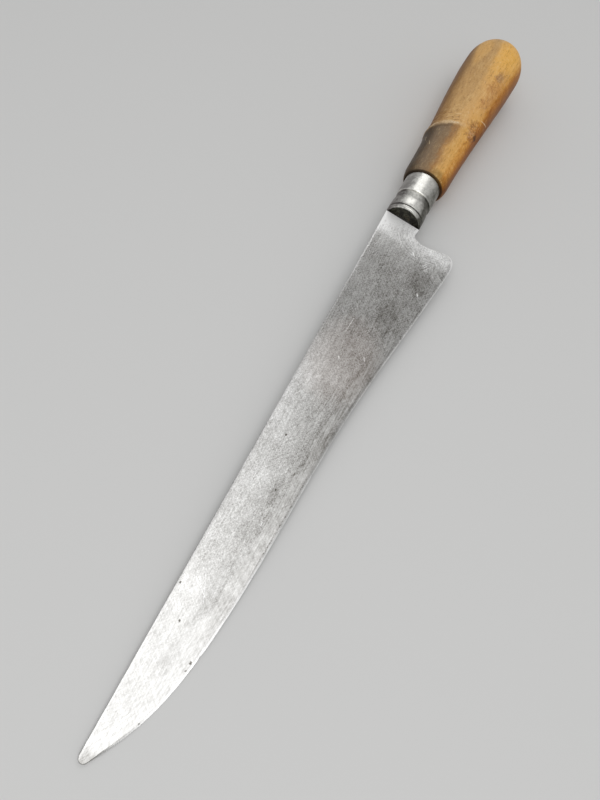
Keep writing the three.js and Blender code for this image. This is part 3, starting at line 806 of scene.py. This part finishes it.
def polished_horn():
    material, shade, place = new_finish("polished_horn")
    x, y, z = split(place)
    behind = HORN_FRONT_X - x
    bend = step_down(x, BUTT_X, BORE_END_X) * BUTT_DROP
    dome = step_down(x, BELLY_X - 13, BELLY_X + 20)
    level_turn = y.math("ARCSINE", (y - bend) / BELLY_RADIUS) * math.degrees(1)
    turn = y.math("ARCTAN2", y - bend, z) * math.degrees(1)
    turn = turn + (level_turn * 0.8 - turn) * dome
    edgeward = turn.math("SINE", turn * math.radians(1))
    fibre = grain(place, 0.9, 3, 0.65, stretch=(4, 1, 1))
    streak = grain(place, 0.16, 3, 0.55, stretch=(5, 1, 1), shift=(3, 8, 2))
    cloud = grain(place, 0.07, 3, 0.55, shift=(12, 0, 4))
    mottle = grain(place, 0.4, 4, 0.7, shift=(5, 2, 7))
    dust = grain(place, 1.5, 2, 0.7, shift=(1, 6, 3))
    bark = grain(place, 0.6, 4, 0.7, stretch=(1, 2, 2))

    # In front of the growth ring the spine's side is dark, and behind it all is honey and amber.
    wander = turn + streak * 34 + mottle * 16 + cloud * 14
    # both rings of colour run darker down the sides, partly the horn's own colour and partly painted shade
    front = tinted(wander, (
        (-180, (144, 102, 58)),
        (-125, (104, 80, 54)),
        (-80, (64, 52, 40)),
        (-58, (74, 61, 47)),
        (-32, (130, 111, 90)),
        (-10, (142, 117, 88)),
        (-1, (166, 124, 78)),
        (8, (210, 163, 98)),
        (24, (222, 170, 92)),
        (40, (222, 160, 74)),
        (56, (162, 92, 18)),
        (76, (122, 68, 18)),
        (106, (154, 100, 44)),
        (180, (144, 102, 58)),
    ))
    rear = tinted(wander, (
        (-180, (170, 124, 70)),
        (-108, (164, 118, 64)),
        (-78, (122, 82, 38)),
        (-61, (132, 92, 42)),
        (-37, (194, 153, 100)),
        (-14, (206, 165, 108)),
        (6, (218, 170, 106)),
        (30, (224, 172, 98)),
        (40, (212, 152, 70)),
        (48, (182, 116, 32)),
        (74, (124, 68, 16)),
        (104, (164, 108, 46)),
        (180, (170, 124, 70)),
    ))
    ring_at = behind - RIDGE_AT - edgeward * RIDGE_SLANT + bark * 3
    past_ring = strongest([step_up(ring_at, -2.5, 1.5), step_up(turn + mottle * 20, 10, 30) * 0.6])
    horn = mix(past_ring, front, rear)

    # Clouds of colour in the horn, and painted shade on the edge's side next to the ferrule.
    gold = step_up(behind + cloud * 30, 60, 92) * step_up(turn + streak * 40 + mottle * 16, -16, 5)
    horn = mix(gold * step_down(turn, 25, 55) * 0.6, horn, colour(246, 188, 84))
    grey_heart = spot(behind + cloud * 30, turn + streak * 40, (76, -17), (24, 11), 0.9)
    horn = mix(grey_heart * 0.22, horn, colour(158, 116, 68))
    russet = step_up(streak + mottle * 0.4, 0.02, 0.22) * step_up(turn, 14, 40)
    horn = mix(russet * 0.35, horn, colour(164, 96, 36))
    amber = spot(behind + cloud * 20, turn + streak * 20, (94, -36), (16, 13), 0.8)
    horn = mix(amber * 0.5, horn, colour(236, 184, 106))
    blush = spot(behind + mottle * 16, turn + mottle * 40 + streak * 30, (64, 27), (15, 15), 0.9)
    horn = mix(blush * (0.42 + mottle), horn, colour(172, 114, 74))
    # painted shade: the edge's side is darker next to the ferrule
    joint_side_shade = step_down(behind + mottle * 8, 3, 15) * step_up(turn + mottle * 20, 36, 60)
    horn = mix(joint_side_shade * 0.45, horn, colour(70, 42, 18))
    olive = spot(behind + mottle * 5, turn + mottle * 40, (0.6, 22), (2.8, 26), 0.9)
    horn = mix(olive * 0.5, horn, colour(92, 80, 48))

    # The growth ring: a pale crest, partly painted highlight, painted shadow before it and wrinkled bark
    # behind.
    wrinkle = grain(place_at(ring_at, turn * 0.05), 0.75, 3, 0.6)
    spine_side = step_down(turn + mottle * 40, -24, 14)
    barky = within(ring_at, -1.5, 1, 5, 14)
    horn = mix(barky * spine_side * step_up(wrinkle, 0.03, 0.16) * 0.7, horn, colour(128, 86, 52))
    pale_lines = barky * step_down(wrinkle, -0.16, -0.02) * step_down(turn, 4, 34)
    horn = mix(pale_lines * 0.5, horn, colour(228, 196, 150))
    ring = step_down(abs(ring_at), 0.4, 1.7) * step_down(turn + mottle * 40, -10, 24)
    horn = mix(ring * (0.34 + wrinkle * 2.2 + dust * 1.6 + mottle), horn, colour(240, 218, 182))
    # painted shadow in front of the ring's crest, on the spine's side
    ring_shadow = step_down(abs(ring_at + 2), 0.2, 1.1) * spine_side
    horn = mix(ring_shadow * (0.35 + bark), horn, colour(86, 66, 46))

    # A healed scar on the edge's side of the ring, a chafed spot near the butt, and scratches.
    scarred = spot(behind + bark * 10, turn + mottle * 30, (37, 44), (6, 21), 0.9)
    veins = step_down(abs(grain(place, 0.6, 3, 0.6, shift=(8, 3, 1))), 0.01, 0.12)
    horn = mix(scarred * 0.45, horn, colour(172, 104, 52))
    horn = mix(scarred * veins * 0.5, horn, colour(88, 50, 26))
    healed = spot(behind + bark * 6, turn + mottle * 20, (34, 36), (2.2, 8), 0.9)
    horn = mix(healed * step_up(dust, -0.02, 0.1) * 0.6, horn, colour(236, 192, 150))
    core = spot(behind + bark * 6, turn + mottle * 24, (36.3, 55), (1.6, 6), 0.8)
    horn = mix(core * 0.75, horn, colour(50, 30, 18))
    chafed = spot(behind + bark * 4, turn + mottle * 14, (74.3, 23), (3.2, 8), 0.95)
    horn = mix(chafed * (0.42 + dust * 1.4), horn, colour(126, 104, 96))
    girth = turn * MM_PER_DEGREE
    scores = [scratch(behind + dust * 0.3, girth + dust * 0.3, *scuff) for scuff in SCUFFS]
    scored = strongest(scores + [scratch(behind + dust, girth, (46, 9.3), (50, 15.4), 0.4)])
    horn = mix(scored * 0.7, horn, colour(240, 216, 176))

    # Its fibres, the fine hairs that wear has raised on the top, and dirt and painted shade at the ferrule.
    tone = fibre * 0.75 + mottle * 0.5 + dust * 0.6
    horn = mix(step_up(tone, 0, 0.28) * 0.5, horn, colour(112, 76, 42))
    off_top = strongest([step_up(abs(turn), 34, 64), (1 - past_ring) * step_down(turn, -8, 8) * 0.75])
    horn = mix(step_down(tone, -0.28, 0) * (0.42 - off_top * 0.32), horn, colour(240, 208, 152))
    hairs = grain(place, 1.3, 2, 0.75, stretch=(7, 1, 1), turn=math.radians(24), shift=(6, 1, 2))
    hairs = step_up(hairs + dust * 0.4, 0.12, 0.24) * (1 - off_top) * step_up(behind, 14, 40)
    horn = mix(hairs * 0.3, horn, colour(240, 210, 168))
    # dirt and painted shade in the gap at the ferrule
    joint_dirt_and_shade = step_down(behind + dust * 0.4, 0.05, 0.35)
    horn = mix(joint_dirt_and_shade * 0.8, horn, colour(40, 31, 21))

    rough = 0.42 + cloud * 0.14 + mottle * 0.12 + barky * 0.1 + chafed * 0.25
    flecks = step_up(dust + bark * 0.4, 0.2, 0.3)
    relief = fibre * 0.3 + dust * 0.3 - barky * wrinkle * 2 - chafed * dust - scored - core
    relief = relief - flecks * 0.3 - scarred * veins * 0.6
    bump = shade.node("Bump", None, {"Strength": 0.4, "Distance": 0.1 * MM, "Height": relief})
    finish_with(shade, {
        "Base Color": horn,
        "Roughness": rough,
        "Normal": bump,
        "IOR": 1.54,
        "Specular IOR Level": 0.12,
    })
    return material


points, faces = turned(horn_profile(), HORN_SEGMENTS, shaped_horn)
make_piece("horn_grip", "horn_handle", points, faces, polished_horn())


# The pitch: poured hot round the tang, it fills the ferrule in front of the spigot and the bore in the horn.
# It set with a rough sunken face in the ferrule's mouth, behind the blade's shoulder.
PLUG_RADIUS = FERRULE_BORE - SEAT_GAP
PITCH_SINK = 0.9  # how far the face sinks between the tang and the lip
SINK_AT_TANG, SINK_AT_WALL = 0.3, 0.5  # the shares of it at the hollow's ends
HOLLOW_TIGHT = 1.05  # the hollow ends just before the wall
WALL_POWER = 6  # how sharply the face draws back there
PITCH_LUMPS, PITCH_SPAN = 0.22, 1.6
PITCH_SEGMENTS = 144
FACE_RINGS = 22


def slot_radius(x, angle):
    """From the axis to the wall of the tang's slot."""
    half_wide = tang_half_width(x) + SEAT_GAP
    half_high = TANG_THICKNESS / 2 + SEAT_GAP
    return min(half_wide / max(1e-6, abs(math.sin(angle))), half_high / max(1e-6, abs(math.cos(angle))))


slot_end_x = -TANG_LENGTH - SEAT_GAP
sleeve_end_x = BORE_END_X + SEAT_GAP
plug_end_x = SPIGOT_X + SEAT_GAP
pitch_profile = [(slot_end_x, 0), (slot_end_x, 1)]
pitch_profile += [(0, 1 + ring / FACE_RINGS) for ring in range(FACE_RINGS + 1)]
pitch_profile += [
    (plug_end_x, PLUG_RADIUS),
    (plug_end_x, bore_radius(SPIGOT_X) - SEAT_GAP),
    (sleeve_end_x, bore_radius(BORE_END_X) - SEAT_GAP),
    (sleeve_end_x, 0),
]


def poured(x, radius, angle, k):
    if k == 1:
        return round_about(x, slot_radius(x, angle), angle)
    if 2 <= k <= FACE_RINGS + 2:
        share = radius - 1
        inner = slot_radius(0, angle)
        r = inner + share * (PLUG_RADIUS - inner)
        lump = PITCH_LUMPS * noise.noise(round_about(0, r, angle) / PITCH_SPAN)
        hollow = math.sin(math.pi * min(1, share * HOLLOW_TIGHT))
        sunk = SINK_AT_TANG + (1 - SINK_AT_TANG) * hollow + SINK_AT_WALL * share ** WALL_POWER
        return round_about(lump * math.sin(math.pi * share) - PITCH_SINK * sunk, r, angle)
    return round_about(x, radius, angle)


def black_pitch():
    material, shade, place = new_finish("set_pitch")
    crumb = grain(place, 1.1, 4, 0.65)
    cloud = grain(place, 0.35, 3, 0.6, shift=(4, 1, 7))
    pits = step_up(grain(place, 0.55, 2, 0.5, shift=(2, 5, 9)), 0.02, 0.12)
    pitch = mix(step_up(crumb, -0.12, 0.12), colour(30, 28, 23), colour(74, 73, 62))
    pitch = mix(step_up(cloud, 0.05, 0.2) * 0.6, pitch, colour(66, 54, 40))
    pitch = mix(pits * 0.75, pitch, colour(17, 16, 14))
    rough = 0.66 + crumb * 0.4
    relief = crumb + cloud * 0.5 - pits
    bump = shade.node("Bump", None, {"Strength": 0.6, "Distance": 0.2 * MM, "Height": relief})
    finish_with(shade, {"Base Color": pitch, "Roughness": rough, "Normal": bump, "Specular IOR Level": 0.2})
    return material


points, faces = turned(pitch_profile, PITCH_SEGMENTS, poured)
make_piece("pitch_bed", "tang_pitch", points, faces, black_pitch())


# The table: a plain pale sheet under the knife, so wide that its rim is the horizon of every view. The
# horn's belly and the edge near the tip touch it.
TABLE_SIZE = 60.0  # in metres

half = TABLE_SIZE / 2
corners = [(-half, -half, 0), (half, -half, 0), (half, half, 0), (-half, half, 0)]
table_mesh = bpy.data.meshes.new("table")
table_mesh.from_pydata(corners, [], [(0, 1, 2, 3)])
table = bpy.data.objects.new("table", table_mesh)
bpy.context.scene.collection.objects.link(table)
material, shade, place = new_finish("pale_sheet")
finish_with(shade, {"Base Color": colour(214, 214, 213), "Roughness": 0.8})
table_mesh.materials.append(material)


# The light: a broad soft lamp over the tip half of the blade, a weak one over the middle, and one behind the
# butt that the ferrule and the shoulder mirror. The heel half of the blade mirrors the grey room.
ROOM_LEVEL = 0.5
LAMPS = (  # name, place and aim in metres, width and height, watts
    ("over_tip", (0.62, 0.14, 0.95), (0.40, 0.05, 0.0), (1.0, 1.0), 4.4),
    ("over_middle", (-0.12, 0.20, 1.00), (0.0, 0.0, 0.0), (0.5, 0.5), 0.6),
    ("behind_butt", (-1.00, -0.16, 0.98), (-0.10, 0.0, 0.0), (0.9, 0.3), 1.3),
)

for name, lamp_at, aims_at, (width, height), watts in LAMPS:
    lamp = bpy.data.lights.new(name, "AREA")
    lamp.shape = "RECTANGLE"
    lamp.size = width
    lamp.size_y = height
    lamp.energy = watts
    holder = bpy.data.objects.new(name, lamp)
    bpy.context.scene.collection.objects.link(holder)
    holder.location = lamp_at
    holder.rotation_euler = (Vector(aims_at) - Vector(lamp_at)).to_track_quat("-Z", "Y").to_euler()

room = bpy.data.worlds.new("grey_room")
room.use_nodes = True
backdrop = room.node_tree.nodes["Background"]
backdrop.inputs["Color"].default_value = (1, 1, 1, 1)
backdrop.inputs["Strength"].default_value = ROOM_LEVEL
bpy.context.scene.world = room


# The camera: hand-held over the tip half of the blade, looking back along it, so the handle recedes. Its
# place is in the knife's axes.
CAMERA_AT = Vector((194.9, 2.2, 232.5))
CAMERA_LOOKS_AT = Vector((105.7, 1.3, 0))
CAMERA_UP = Vector((-0.805, -0.506, 0.311))
LENS_PER_SENSOR = 0.75  # of the long side of the image

view_back = (CAMERA_AT - CAMERA_LOOKS_AT).normalized()
view_right = CAMERA_UP.cross(view_back).normalized()
view_up = view_back.cross(view_right)
hold = Matrix((view_right, view_up, view_back)).transposed().to_4x4()
eye = bpy.data.cameras.new("eye")
eye.sensor_width = 36
eye.lens = LENS_PER_SENSOR * eye.sensor_width
eye.clip_start = 0.01
camera = bpy.data.objects.new("eye", eye)
bpy.context.scene.collection.objects.link(camera)
camera.matrix_world = knife @ Matrix.Translation(CAMERA_AT * MM) @ hold
bpy.context.scene.camera = camera
bpy.context.scene.view_settings.view_transform = "Standard"
